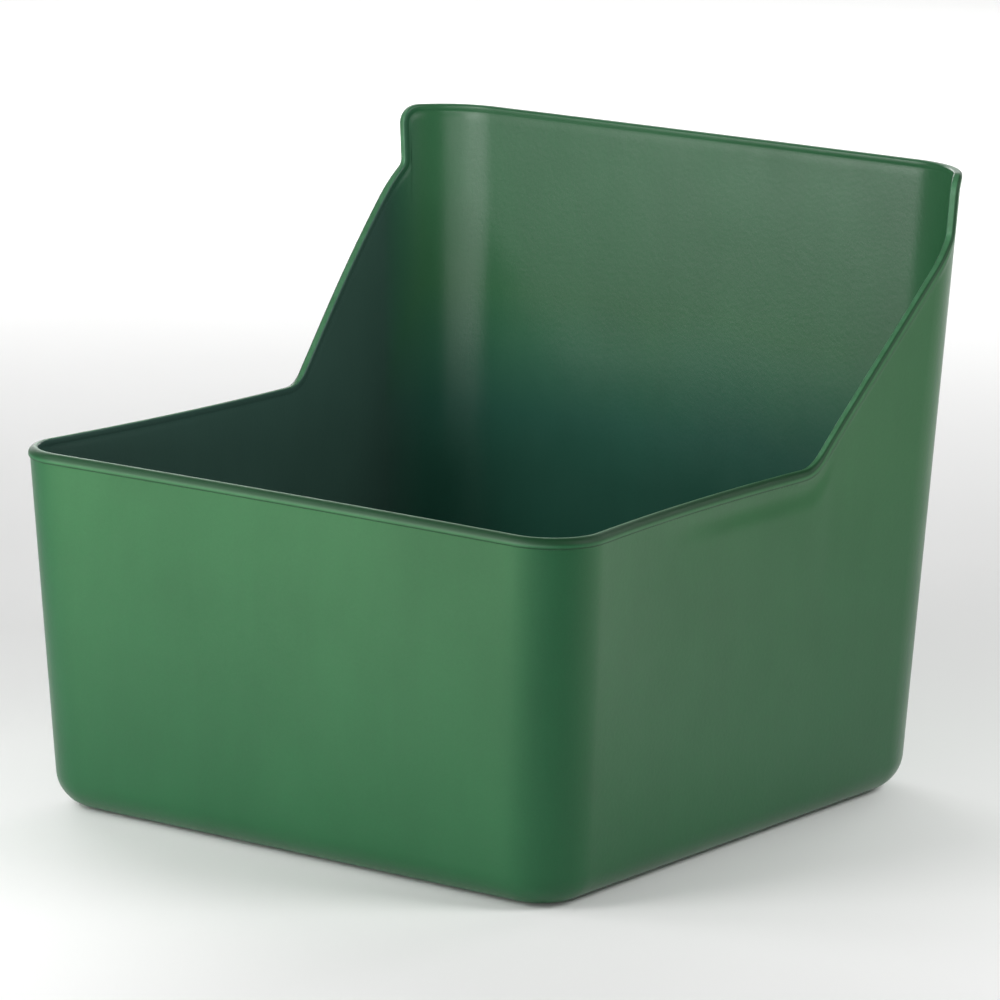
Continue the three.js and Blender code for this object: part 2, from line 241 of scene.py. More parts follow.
def spread_feet(q, z, along, neck_q):
    """q at the foot of the wall under each rim point: the columns fan out under the upright edge, so that no two of them cross"""
    corner = int(np.argmax(z < TOP_Z - 0.01)) - 1
    notch = int(np.argmax(z <= SHOULDER_TOP_Z + 0.01))
    a = int(np.argmin(np.abs(along - (along[corner] - 26))))
    b = int(np.argmin(np.abs(along - (along[notch] + 74))))
    keys = [along[a], along[notch], along[b]]
    vals = [q[a], float(neck_q[notch]) - 0.004, neck_q[b]]
    feet = neck_q.copy()
    feet[:a] = q[:a]
    inside = np.arange(len(q))
    mid = (inside >= a) & (inside <= b)
    feet[mid] = np.interp(along[mid], keys, vals)
    feet[inside > b] = neck_q[inside > b]
    # a smooth run, so that the columns bend nowhere sharply
    for _ in range(60):
        feet[1:-1] += 0.25 * (feet[:-2] + feet[2:] - 2 * feet[1:-1]) * mid[1:-1]
    return feet


def shell_rings():
    q, z, along = rim_half()
    p, outside, over = rim_frames(q, z)
    step = np.where(q > 4.9, -1e-3, 1e-3)
    dq = (wall(q + step, z) - wall(q, z)) / step[:, None]
    neck_q = q - NECK * (over * dq).sum(1) / (dq * dq).sum(1)
    neck_q[0], neck_q[-1] = 0, 5
    neck_z = z - NECK * over[:, 2]
    feet = spread_feet(q, z, along, neck_q)
    # where the low rim begins to climb, and how far past it each point is on its way up
    foot_of_climb = along[int(np.argmax(z <= RIM_Z + 1e-6))]
    climb = foot_of_climb - along
    upper = ease((climb + 10) / 34)
    # towards the foot of the shoulder, the side walls are drawn in under the rim and come out again below in a soft ledge
    crease = ease((climb + 140) / 85) * ease((30 - climb) / 32)
    rings, marks = [], []
    lerp = lambda a, b, t: a + (b - a) * t

    def base_row(deg, radius, inset0, z0):
        a = math.radians(deg)
        zz = z0 + radius * (1 - math.cos(a))
        return ring(wall(feet, zz, inset0 + radius * (1 - math.sin(a))))

    def wall_row(t, inset):
        row = wall(lerp(feet, neck_q, t), lerp(BASE_R, neck_z, t), inset)
        if inset == 0:
            end = wall(neck_q, neck_z, 0.0)
            below = NECK + np.linalg.norm(row - end, axis=1)
            out = ease((below - 11.0) / 11.0)
            proud = -0.7 * ease((below - NECK) / 5.5) * (1 - out) + 0.8 * out * ease((92.0 - below) / 68.0)
            row = row + outside * (crease * proud)[:, None]
        return ring(row)

    tt = np.concatenate([np.linspace(0, 0.80, 25), np.linspace(0.80, 1, 17)[1:]])
    for deg in np.linspace(0, 90, 13)[:-1]:
        rings.append(base_row(deg, BASE_R, 0, 0))
    for t in tt:
        rings.append(wall_row(t, 0.0))
    # inside, dull and shaded, and highlight edge, for the finish: the outer round of the rim and the crease under its
    # lip are rougher and get painted shade, and its inner edge gets a painted highlight and a little more roughness
    marks += [(0.0, 0.0, 0.0)] * len(rings)
    shades = [(0.6, 0), (0.9, 0), (0.7, 0), (0.2, 0), (0, 0.15), (0, 0.25), (0.4, 0), (0.9, 0), (1, 0), (1, 0), (1, 0)]
    shades += [(1, 0), (0.95, 0), (0.75, 0.1), (0.35, 0.6), (0.05, 1), (0, 1), (0, 1), (0, 1), (0, 1), (0, 0.8), (0, 0.5)]
    for i, (low, high) in enumerate(zip(low_rim_profile(), upper_rim_profile())):
        inset, rise = (lerp(low[j], high[j], upper) for j in (0, 1))
        rings.append(ring(wall(q, z, inset) + over * rise[:, None]))
        marks.append((float(i > 19), *(shades[i] if i < len(shades) else (0, 0))))
    for t in tt[::-1]:
        rings.append(wall_row(t, WALL))
    for deg in np.linspace(90, 0, 11)[1:]:
        rings.append(base_row(deg, BASE_R - WALL, WALL, WALL))
    marks += [(1.0, 0.0, 0.0)] * (len(rings) - len(marks))
    return rings, marks


def grid_mesh(rings, cap_start, cap_end):
    """Quads between the rings, with each end closed by rings that shrink to a small flat face"""
    def cap(r, n):
        c = np.array([0.0, r[:, 1].mean(), r[:, 2].mean()])
        return [c + (r - c) * (1 - (i / (n + 1))) for i in range(1, n + 1)]

    rows = list(reversed(cap(rings[0], cap_start))) + rings + cap(rings[-1], cap_end)
    n = len(rows[0])
    verts = np.concatenate(rows)
    faces = []
    for i in range(len(rows) - 1):
        a, b = i * n, (i + 1) * n
        for j in range(n):
            k = (j + 1) % n
            faces.append((a + j, a + k, b + k, b + j))
    faces.append(tuple(range(n))[::-1])
    faces.append(tuple(range((len(rows) - 1) * n, len(rows) * n)))
    return verts, faces


def mesh_object(name, verts, faces, mm=True):
    me = bpy.data.meshes.new(name)
    me.from_pydata((np.asarray(verts, float) * (MM if mm else 1)).tolist(), [], faces)
    me.update()
    bm = bmesh.new()
    bm.from_mesh(me)
    bmesh.ops.recalc_face_normals(bm, faces=bm.faces)
    if bm.calc_volume(signed=True) < 0:
        bmesh.ops.reverse_faces(bm, faces=bm.faces)
    bm.to_mesh(me)
    bm.free()
    ob = bpy.data.objects.new(name, me)
    scene.collection.objects.link(ob)
    return ob


def smooth(ob, degrees):
    ob.data.shade_smooth()
    ob.data.set_sharp_from_angle(angle=math.radians(degrees))


def boolean(ob, others, operation):
    """Joins others to ob or cuts them from it, and removes them."""
    for other in others:
        m = ob.modifiers.new("cut", "BOOLEAN")
        m.operation, m.object, m.solver = operation, other, "EXACT"
        bpy.context.view_layer.update()
        dg = bpy.context.evaluated_depsgraph_get()
        made = bpy.data.meshes.new_from_object(ob.evaluated_get(dg))
        ob.modifiers.clear()
        old = ob.data
        ob.data = made
        bpy.data.meshes.remove(old)
        bpy.data.objects.remove(other)
    return ob


# ------------------------------------------------------------------ the back wall's frame
LEAN = math.atan(BACK_LEAN)
ON_BACK = Matrix.Translation((0, BACK_Y, 0)) @ Matrix.Rotation(-LEAN, 4, "X")


def on_back(points):
    m = np.array(ON_BACK)
    return np.asarray(points, float) @ m[:3, :3].T + m[:3, 3]


def lathe(profile, segments, closed=False, twist=None):
    """A solid of revolution about the wall's square axis, as points (x, off, up) round (0, 0). profile is (radius, off). A radius of 0 at an end closes it."""
    pts, faces = [], []
    prof = list(profile)
    start = prof[0][0] == 0 and not closed
    end = prof[-1][0] == 0 and not closed
    body = prof[1 if start else 0 : -1 if end else None]
    n = segments
    ang = np.linspace(0, 2 * math.pi, n, endpoint=False)
    for r, off in body:
        rr = np.full(n, r) if twist is None else twist(r, off, ang)
        pts += [(rr[i] * math.cos(ang[i]), off, rr[i] * math.sin(ang[i])) for i in range(n)]
    rows = len(body)
    for i in range(rows if closed else rows - 1):
        a, b = i * n, ((i + 1) % rows) * n
        for j in range(n):
            k = (j + 1) % n
            faces.append((a + j, a + k, b + k, b + j))
    if start:
        pts.append((0, prof[0][1], 0))
        faces += [(len(pts) - 1, (j + 1) % n, j) for j in range(n)]
    if end:
        pts.append((0, prof[-1][1], 0))
        a = (rows - 1) * n
        faces += [(len(pts) - 1, a + j, a + (j + 1) % n) for j in range(n)]
    return np.array(pts, float), faces


def placed(name, pts, faces, x, up):
    return mesh_object(name, on_back(np.asarray(pts) + np.array([x, 0, up])), faces)


def block(name, size, centre, soft, draft=0.0):
    """A block in the back wall's frame with rounded edges; its sides lean in by draft on their way out"""
    bm = bmesh.new()
    bmesh.ops.create_cube(bm, size=1.0)
    for v in bm.verts:
        k = 1 - (draft if v.co.y > 0 else 0.0) / max(size[0], size[2]) * 2
        v.co = Vector((v.co.x * size[0], v.co.y * size[1], v.co.z * size[2]))
        if v.co.y > 0:
            v.co.x -= math.copysign(min(draft, size[0] * 0.2), v.co.x)
            v.co.z -= math.copysign(draft, v.co.z)
    bmesh.ops.bevel(
        bm, geom=list(bm.edges), offset=soft, offset_type="OFFSET", segments=4, profile=0.5, affect="EDGES"
    )
    pts = np.array([v.co[:] for v in bm.verts]) + np.array(centre)
    faces = [tuple(v.index for v in f.verts) for f in bm.faces]
    bm.free()
    return mesh_object(name, on_back(pts), faces)


# ------------------------------------------------------------------ shell
HANGER_X, SCREW_AT = 85.0, (208.0, 243.0)
BOSS_H, BOSS_R, WEB_H = 6.5, 7.5, 5.6
PILOT_R, PILOT_DEPTH = 2.7, 8.3

rings, marks = shell_rings()
shell = mesh_object("feeder_tub", *grid_mesh(rings, 9, 9))

extra = []
for x in (-HANGER_X, HANGER_X):
    extra.append(block("web", (3.0, WEB_H + 2, 67), (x, (WEB_H - 2) / 2, 225.5), 0.55, 0.35))
    for up_ in SCREW_AT:
        flare = [(0, -2), (BOSS_R + 2.4, -2), (BOSS_R + 2.4, 0.02)]
        flare += [(BOSS_R + 2.4 - 1.6 * math.sin(a), 0.02 + 1.6 * (1 - math.cos(a))) for a in np.radians([20, 40, 60, 80])]
        flare += [(BOSS_R + 0.35, 3.5), (BOSS_R + 0.05, BOSS_H - 0.6)]
        flare += [(BOSS_R - 0.6 + 0.6 * math.cos(a), BOSS_H - 0.6 + 0.6 * math.sin(a)) for a in np.radians([30, 60, 90])]
        flare += [(0, BOSS_H)]
        extra.append(placed("boss", *lathe(flare, 64), x, up_))
        extra.append(block("web", (31, WEB_H + 2, 3.0), (x, (WEB_H - 2) / 2 - 0.015, up_), 0.55, 0.3))
boolean(shell, extra, "UNION")
pilots = []
for x in (-HANGER_X, HANGER_X):
    for up_ in SCREW_AT:
        bore = [(0, BOSS_H - PILOT_DEPTH), (PILOT_R - 0.5, BOSS_H - PILOT_DEPTH), (PILOT_R, BOSS_H - PILOT_DEPTH + 0.5)]
        bore += [(PILOT_R, BOSS_H - 0.45), (PILOT_R + 0.45, BOSS_H), (PILOT_R + 0.45, BOSS_H + 1), (0, BOSS_H + 1)]
        pilots.append(placed("bore", *lathe(bore, 40), x, up_))
boolean(shell, pilots, "DIFFERENCE")
smooth(shell, 38)

# what part of the wall each point is on, for the finish and for the painted shade and painted highlight on the rim
tree = KDTree(sum(len(r) for r in rings))
ring_of = []
for i, r in enumerate(rings):
    for c in r:
        tree.insert(Vector(c) * MM, len(ring_of))
        ring_of.append(i)
tree.balance()
co = np.zeros(len(shell.data.vertices) * 3)
shell.data.vertices.foreach_get("co", co)
co = co.reshape(-1, 3)
mark = np.array([marks[ring_of[tree.find(Vector(c))[1]]] for c in co])
facing = np.zeros(len(co) * 3)
shell.data.vertices.foreach_get("normal", facing)
facing = facing.reshape(-1, 3)
mark[(co[:, 2] < 0.02) & (facing[:, 2] > 0.3)] = (1, 0, 0)
mark[(co[:, 2] < 0.02) & (facing[:, 2] < -0.3)] = (0, 0, 0)
place = shell.data.attributes.new("wall_place", "FLOAT_VECTOR", "POINT")
place.data.foreach_set("vector", mark.astype(np.float32).ravel())
# how near each point is to a front corner, where the material paints shade
hw, yf, _, rf, *_ = plan(co[:, 2] / MM, np.zeros(len(co)))
u = (np.abs(co[:, 0]) / MM - (hw - rf)) / rf
v = ((yf + rf) - co[:, 1] / MM) / rf
corner = ease(1.1 * np.clip(u + 0.25, 0, 1) * np.clip(v + 0.25, 0, 1))
painted_corner_shade = shell.data.attributes.new("corner", "FLOAT", "POINT")
painted_corner_shade.data.foreach_set("value", corner.astype(np.float32))

# ------------------------------------------------------------------ hooks of bent strip
STRIP_W, STRIP_T, GAP = 25.0, 4.0, 0.3
LEG_FROM, HOOK_TOP_Z, RAIL_GAP, TIP_DROP, TIP_FLARE, BEND_R = 196.0, 301.0, 52.0, 50.0, 4.0, 5.0


def hook_path():
    """The strip's outer face as pieces of line and arc: the start, the direction, the length and, for an arc, its radius"""
    o = BOSS_H + GAP
    foot = on_back([[0, o, LEG_FROM]])[0][1:]
    top = on_back([[0, o, HOOK_TOP_Z]])[0][1:]
    lean = (top - foot) / np.linalg.norm(top - foot)
    at_top = foot + lean * (HOOK_TOP_Z - foot[1]) / lean[1]
    tip = at_top[0] + STRIP_T + RAIL_GAP
    corners = [
        foot,
        at_top,
        np.array([tip + STRIP_T, HOOK_TOP_Z]),
        np.array([tip + STRIP_T, HOOK_TOP_Z - TIP_DROP + 16]),
        np.array([tip + STRIP_T + TIP_FLARE, HOOK_TOP_Z - TIP_DROP]),
    ]
    radii = [0, BEND_R + STRIP_T, BEND_R + STRIP_T, 14, 0]
    out, start = [], corners[0]
    for i in range(1, 4):
        a = corners[i - 1] - corners[i]
        b = corners[i + 1] - corners[i]
        a, b = a / np.linalg.norm(a), b / np.linalg.norm(b)
        half = math.acos(float(np.clip(a @ b, -1, 1))) / 2
        p0 = corners[i] + a * radii[i] / math.tan(half)
        p1 = corners[i] + b * radii[i] / math.tan(half)
        turn = math.copysign(math.pi - 2 * half, float((-a)[0] * b[1] - (-a)[1] * b[0]))
        out.append(("line", start, -a, float(np.linalg.norm(p0 - start)), 0, 0))
        out.append(("arc", p0, -a, radii[i] * abs(turn), radii[i], turn))
        start = p1
    d = corners[4] - start
    out.append(("line", start, d / np.linalg.norm(d), float(np.linalg.norm(d)), 0, 0))
    return out


def bend(s, t):
    """Where a point of the flat strip goes: s along it, t into it from the outer face"""
    left = s
    for kind, p, d, length, r, turn in HOOK:
        if left <= length + 1e-9 or (kind, p[0], p[1]) == (HOOK[-1][0], HOOK[-1][1][0], HOOK[-1][1][1]):
            if kind == "arc":
                a = turn * left / length
                side = math.copysign(1, turn)
                n = np.array([-d[1], d[0]]) * side
                c = p + n * r
                ca, sa = math.cos(a), math.sin(a)
                rot = np.array([[ca, -sa], [sa, ca]])
                q = c + rot @ (p - c)
                dd = rot @ d
            else:
                q, dd = p + d * left, d
            return q + np.array([dd[1], -dd[0]]) * t
        left -= length
    raise ValueError(s)


HOOK = hook_path()
TOTAL = sum(h[3] for h in HOOK)


def s_lines():
    marks, s = [], 0.0
    for kind, _, _, length, r, turn in HOOK:
        n = max(2, int(math.degrees(abs(turn)) / 6)) if kind == "arc" else max(2, int(length / 9))
        marks += list(s + np.linspace(0, length, n + 1)[:-1])
        s += length
    marks = np.array(marks[1:])
    holes = [u - LEG_FROM for u in SCREW_AT]
    keep = (marks > 9) & (marks < TOTAL - 11)
    for h in holes:
        keep &= np.abs(marks - h) > 6.5
    return marks[keep]


def strip_loop(e, marks):
    """The flat strip's outline, e inside its edge: round corners of 5 mm at the foot and 8 mm at the tip"""
    w, n = STRIP_W / 2, 7
    pts = []

    def corner(cs, cw, r, a0):
        for a in np.radians(np.linspace(a0, a0 + 90, n)):
            pts.append((cs + (r - e) * math.cos(a), cw + (r - e) * math.sin(a)))

    r0, r1 = 5.0, 8.0
    corner(r0, -w + r0, r0, 180)
    pts.extend((m, -w + e) for m in marks)
    corner(TOTAL - r1, -w + r1, r1, 270)
    corner(TOTAL - r1, w - r1, r1, 0)
    pts.extend((m, w - e) for m in marks[::-1])
    corner(r0, w - r0, r0, 90)
    return pts


def hook_mesh():
    marks = s_lines()
    soft = 0.55
    edge = [(soft * (1 - math.sin(a)), soft * (1 - math.cos(a))) for a in np.radians([0, 22.5, 45, 67.5, 90])]
    levels = edge + [(e, STRIP_T - t) for e, t in edge[::-1]]
    verts, faces = [], []
    m = len(marks)
    outline = len(strip_loop(0, marks))
    holes = [(u - LEG_FROM, 2.85) for u in SCREW_AT]
    hn = 40
    flat = []

    def add_wall(loops):
        base = len(flat)
        n = len(loops[0][0])
        for loop, t in loops:
            flat.extend((s, w, t) for s, w in loop)
        for i in range(len(loops) - 1):
            a, b = base + i * n, base + (i + 1) * n
            for j in range(n):
                k = (j + 1) % n
                faces.append((a + j, b + j, b + k, a + k))
        return base, n, len(loops)

    parts = [add_wall([(strip_loop(e, marks), t) for e, t in levels])]
    for hs, hr in holes:
        ang = np.linspace(0, 2 * math.pi, hn, endpoint=False)
        parts.append(
            add_wall([([(hs + (hr + e) * math.cos(-a), (hr + e) * math.sin(-a)) for a in ang], t) for e, t in levels])
        )
    # the two faces
    for level in (0, -1):
        pts, edges, index = [], [], []
        for base, n, count in parts:
            start = base + (0 if level == 0 else (count - 1)) * n
            first = len(pts)
            for j in range(n):
                pts.append(Vector(flat[start + j][:2]))
                index.append(start + j)
                edges.append((first + j, first + (j + 1) % n))
        lo = 7
        for j in range(m):
            edges.append((lo + j, outline - 7 - 1 - j))
        vs, es, fs, ov, oe, of = delaunay_2d_cdt(pts, edges, [], 1, 1e-6)
        back_to = [index[o[0]] if o else None for o in ov]
        for f in fs:
            c = sum((vs[i] for i in f), Vector((0, 0))) / len(f)
            if any((c.x - hs) ** 2 + c.y**2 < hr * hr for hs, hr in holes):
                continue
            tri = [back_to[i] for i in f]
            if None not in tri:
                faces.append(tuple(tri))
    bent = {}
    for s, w, t in flat:
        key = (round(s, 6), round(t, 6))
        if key not in bent:
            bent[key] = bend(s, t)
        p = bent[key]
        verts.append((w, p[0], p[1]))
    return np.array(verts), faces, np.array(flat)


# ------------------------------------------------------------------ fasteners
WASHER_FROM = BOSS_H + GAP + STRIP_T + GAP
WASHER_T, WASHER_R, HEAD_R, HEAD_H, SHANK_R = 1.2, 6.25, 4.75, 3.4, 2.4
HEAD_FROM = WASHER_FROM + WASHER_T + GAP


def washer_mesh():
    r0, r1, t, s = 2.75, WASHER_R, WASHER_T, 0.28
    prof = [(r0, 0.15), (r0 + 0.15, 0), (r1 - s, 0)]
    prof += [(r1 - s + s * math.sin(a), s - s * math.cos(a)) for a in np.radians([30, 60, 90])]
    prof += [(r1 - s + s * math.cos(a), t - s + s * math.sin(a)) for a in np.radians([0, 30, 60, 90])]
    prof += [(r0 + 0.15, t), (r0, t - 0.15)]
    return lathe([(r, y + WASHER_FROM) for r, y in prof], 56, closed=True)


def screw_object(name, x, up_):
    tip = BOSS_H - PILOT_DEPTH + 0.5 - HEAD_FROM
    pitch = 1.6
    prof = [(0, tip), (0.7, tip + 0.15), (1.5, tip + 1.0), (2.05, tip + 2.2)]
    prof += [(2.05, o) for o in np.arange(tip + 2.4, -2.6, 0.2)]
    prof += [(SHANK_R - 0.05, -2.2), (SHANK_R - 0.05, -0.35), (SHANK_R + 0.2, -0.02), (HEAD_R - 0.4, 0.0)]
    prof += [(HEAD_R - 0.12, 0.08), (HEAD_R, 0.35), (HEAD_R, 0.95)]
    for k in np.linspace(0, 1, 15)[1:]:
        a = math.radians(90 * k)
        prof.append((HEAD_R * math.cos(a) ** 0.72 if k < 1 else 0, 0.95 + (HEAD_H - 0.95) * math.sin(a)))

    def thread(r, off, ang):
        o = off - HEAD_FROM
        if abs(r - 2.05) > 0.01 or o < tip + 1.6 or o > -2.5:
            return np.full(len(ang), r)
        f = (o / pitch - ang / (2 * math.pi)) % 1.0
        return 1.95 + 0.45 * np.clip(1 - np.abs(f - 0.5) / 0.26, 0, 1)

    pts, faces = lathe([(r, y + HEAD_FROM) for r, y in prof], 48, twist=thread)
    ob = placed(name, pts, faces, x, up_)
    turn = 0.35 + 0.9 * math.sin(x * 1.7 + up_ * 0.61)
    cutters = []
    for k in range(2):
        bm = bmesh.new()
        bmesh.ops.create_cube(bm, size=1.0)
        for v in bm.verts:
            wide = v.co.y > 0
            v.co = Vector((v.co.x * (5.2 if wide else 2.0), v.co.y, v.co.z * (1.15 if wide else 0.8)))
            v.co.y = HEAD_H + 1.0 if wide else HEAD_H - 2.0
        c, s = math.cos(turn + k * math.pi / 2), math.sin(turn + k * math.pi / 2)
        p = np.array([(v.co.x * c - v.co.z * s, v.co.y + HEAD_FROM, v.co.x * s + v.co.z * c) for v in bm.verts])
        f = [tuple(v.index for v in g.verts) for g in bm.faces]
        bm.free()
        cutters.append(placed("cutter", p, f, x, up_))
    boolean(ob, cutters, "DIFFERENCE")
    smooth(ob, 32)
    return ob


hook_verts, hook_faces, hook_flat = hook_mesh()
steel = []
for side, x in (("left", -HANGER_X), ("right", HANGER_X)):
    hook = mesh_object(f"hook_{side}", hook_verts + np.array([x, 0, 0]), hook_faces)
    smooth(hook, 40)
    # how far along and across the strip each point is, so that its finish runs along it
    flow = hook.data.attributes.new("strip", "FLOAT_VECTOR", "POINT")
    flow.data.foreach_set("vector", (hook_flat * MM).astype(np.float32).ravel())
    steel.append((hook, f"hanger_{side}", "hanger_steel"))
    for where, up_ in (("lower", SCREW_AT[0]), ("upper", SCREW_AT[1])):
        w = placed(f"washer_{side}_{where}", *washer_mesh(), x, up_)
        smooth(w, 40)
        steel.append((w, f"hanger_washer_{side}_{where}", "fastener_steel"))
        s = screw_object(f"screw_{side}_{where}", x, up_)
        steel.append((s, f"hanger_screw_{side}_{where}", "fastener_steel"))

# ------------------------------------------------------------------ materials


class Nodes:
    """Short names for building a node tree"""

    def __init__(self, material):
        material.use_nodes = True
        self.t = material.node_tree
        self.t.nodes.clear()
        self.out = self.t.nodes.new("ShaderNodeOutputMaterial")
        self.bsdf = self.t.nodes.new("ShaderNodeBsdfPrincipled")
        self.t.links.new(self.bsdf.outputs[0], self.out.inputs[0])

    def put(self, socket, value):
        if isinstance(value, bpy.types.NodeSocket):
            self.t.links.new(value, socket)
        else:
            socket.default_value = value

    def node(self, kind, props=None, **inputs):
        n = self.t.nodes.new(kind)
        for k, v in (props or {}).items():
            setattr(n, k, v)
        for k, v in inputs.items():
            self.put(n.inputs[k.replace("_", " ")], v)
        return n

    def noise(self, where, scale, detail=2.0, rough=0.5, distortion=0.0):
        n = self.node("ShaderNodeTexNoise", Scale=scale, Detail=detail, Roughness=rough, Distortion=distortion)
        self.put(n.inputs["Vector"], where)
        return n.outputs["Fac"]

    def ramp(self, value, lo, hi, to_lo=0.0, to_hi=1.0):
        n = self.t.nodes.new("ShaderNodeMapRange")
        n.clamp = True
        for i, v in enumerate((value, lo, hi, to_lo, to_hi)):
            self.put(n.inputs[i], v)
        return n.outputs[0]

    def math(self, op, a, b=0.0, c=0.0):
        n = self.node("ShaderNodeMath", {"operation": op})
        for i, v in enumerate((a, b, c)):
            self.put(n.inputs[i], v)
        return n.outputs[0]

    def mix(self, factor, a, b, blend="MIX"):
        n = self.node("ShaderNodeMix", {"data_type": "RGBA", "blend_type": blend})
        n.clamp_factor = True
        self.put(n.inputs[0], factor)
        self.put(n.inputs[6], a)
        self.put(n.inputs[7], b)
        return n.outputs[2]

    def scale(self, vector, xyz):
        n = self.node("ShaderNodeMapping", Scale=xyz)
        self.put(n.inputs["Vector"], vector)
        return n.outputs[0]

    def bump(self, height, strength, distance, normal=None):
        n = self.node("ShaderNodeBump", Strength=strength, Distance=distance, Height=height)
        if normal is not None:
            self.put(n.inputs["Normal"], normal)
        return n.outputs[0]


PLASTIC = (0.0250, 0.1025, 0.0392)


def plastic_material():
    m = bpy.data.materials.new("green_polyethylene")
    n = Nodes(m)
    tint = lambda r, g, b: (PLASTIC[0] * r, PLASTIC[1] * g, PLASTIC[2] * b, 1.0)
    pos = n.node("ShaderNodeTexCoord").outputs["Object"]
    x, y, z = n.node("ShaderNodeSeparateXYZ", Vector=pos).outputs
    place = n.node("ShaderNodeAttribute", {"attribute_name": "wall_place"}).outputs["Vector"]
    inside, dull_and_shaded, highlight_edge = n.node("ShaderNodeSeparateXYZ", Vector=place).outputs
    broad = n.noise(pos, 7.0, 3.0, 0.55, 0.3)
    # outside, the green is painted deeper towards the base and lighter and warmer towards the rim: painted shade low on
    # the walls, painted light high on them
    height = n.ramp(n.math("ADD", z, n.math("MULTIPLY", broad, 0.05)), 0.035, 0.205)
    outer = n.mix(height, tint(0.64, 0.88, 0.87), tint(1.24, 1.10, 1.12))
    # and painted shade makes it deepest at the front corners
    painted_corner_shade = n.node("ShaderNodeAttribute", {"attribute_name": "corner"}).outputs["Fac"]
    outer = n.mix(painted_corner_shade, outer, tint(0.42, 0.76, 0.74))
    # inside, a painted reflection greys the side walls and painted bluish shade darkens the depth of the bin
    on_side = n.ramp(n.math("SUBTRACT", n.math("ADD", BACK_Y * MM, n.math("MULTIPLY", z, BACK_LEAN)), y), 0.022, 0.050)
    depth = n.ramp(n.math("ADD", z, n.math("MULTIPLY", broad, 0.04)), 0.250, 0.185)
    painted_reflection_and_shade = n.mix(on_side, tint(0.80, 0.88, 1.55), tint(1.70, 0.90, 1.90))
    inner = n.mix(n.math("MAXIMUM", on_side, depth), tint(0.98, 0.97, 1.06), painted_reflection_and_shade)
    colour = n.mix(inside, outer, inner)
    # pigment that isn't quite even, in broad clouds, faint streaks and a fine grain
    streaks = n.noise(n.scale(pos, (1.0, 1.0, 0.22)), 46.0, 3.0, 0.6, 0.4)
    grain = n.noise(pos, 900.0, 2.0, 0.6)
    even = n.ramp(n.noise(pos, 9.0, 3.0, 0.55, 0.3), 0.35, 0.65, 0.94, 1.05)
    even = n.math("MULTIPLY", even, n.ramp(streaks, 0.40, 0.75, 0.985, 1.04))
    even = n.math("MULTIPLY", even, n.ramp(grain, 0.35, 0.70, 1.02, 0.96))
    colour = n.mix(1.0, colour, even, "MULTIPLY")
    # painted shade darkens the rim's outer round and the crease under its lip; a painted highlight makes its inner edge
    # pale here and there
    colour = n.mix(n.math("MULTIPLY", dull_and_shaded, 0.90), colour, tint(0.28, 0.40, 0.38))
    edge_highlight = n.math("MULTIPLY", highlight_edge, n.ramp(n.noise(pos, 120.0, 4.0, 0.6), 0.35, 0.70, 0.22, 0.50))
    colour = n.mix(edge_highlight, colour, (0.100, 0.270, 0.150, 1.0))
    n.put(n.bsdf.inputs["Base Color"], colour)
    rough = n.ramp(n.noise(pos, 38.0, 4.0, 0.6), 0.3, 0.7, 0.285, 0.345)
    rough = n.math("ADD", rough, n.math("MULTIPLY", n.math("ADD", dull_and_shaded, n.math("MULTIPLY", highlight_edge, 0.5)), 0.26))
    n.put(n.bsdf.inputs["Roughness"], rough)
    n.bsdf.inputs["Metallic"].default_value = 0.0
    n.bsdf.inputs["IOR"].default_value = 1.50
    n.bsdf.inputs["Specular IOR Level"].default_value = 0.25
    # the moulding is a little wavy, with a fine leathery grain
    wave = n.bump(n.noise(n.scale(pos, (1.0, 1.0, 0.6)), 14.0, 1.0, 0.4), 0.25, 0.0016)
    peel = n.bump(n.noise(pos, 420.0, 2.0, 0.5), 0.16, 0.00035, wave)
    fine = n.bump(n.noise(pos, 1500.0, 2.0, 0.6), 0.10, 0.00012, peel)
    n.put(n.bsdf.inputs["Normal"], fine)
    return m


def zinc_material(name, along_strip):
    m = bpy.data.materials.new(name)
    n = Nodes(m)
    if along_strip:
        pos = n.node("ShaderNodeAttribute", {"attribute_name": "strip"}).outputs["Vector"]
    else:
        pos = n.node("ShaderNodeTexCoord").outputs["Object"]
    world = n.node("ShaderNodeTexCoord").outputs["Object"]
    lines = n.noise(n.scale(pos, (0.05, 1.0, 1.0)) if along_strip else n.scale(pos, (1.0, 1.0, 1.0)), 1700.0, 3.0, 0.6)
    patches = n.noise(world, 75.0, 4.0, 0.62, 0.5)
    bloom = n.noise(world, 260.0, 5.0, 0.7)
    colour = n.mix(n.ramp(patches, 0.35, 0.65), (0.36, 0.37, 0.39, 1), (0.48, 0.485, 0.49, 1))
    colour = n.mix(n.ramp(lines, 0.35, 0.70, 0.0, 0.30), colour, (0.29, 0.295, 0.30, 1))
    colour = n.mix(n.ramp(bloom, 0.60, 0.78, 0.0, 0.40), colour, (0.55, 0.545, 0.52, 1))
    n.put(n.bsdf.inputs["Base Color"], colour)
    n.bsdf.inputs["Metallic"].default_value = 1.0
    rough = n.ramp(n.math("ADD", n.math("MULTIPLY", patches, 0.6), n.math("MULTIPLY", lines, 0.4)), 0.35, 0.65, 0.42, 0.60)
    n.put(n.bsdf.inputs["Roughness"], rough)
    b = n.bump(lines, 0.22, 0.00008)
    b = n.bump(patches, 0.15, 0.0003, b)
    n.put(n.bsdf.inputs["Normal"], b)
    return m


green = plastic_material()
strip_zinc = zinc_material("zinc_plated_strip", True)
screw_zinc = zinc_material("zinc_plated_fastener", False)

shell.data.materials.clear()
shell.data.materials.append(green)
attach(shell, "root")
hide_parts("feeder_shell")
for ob, node, slot_name in steel:
    ob.data.materials.clear()
    ob.data.materials.append(strip_zinc if slot_name == "hanger_steel" else screw_zinc)
    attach(ob, "root")
    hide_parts(node)

# ------------------------------------------------------------------ floor, light, world


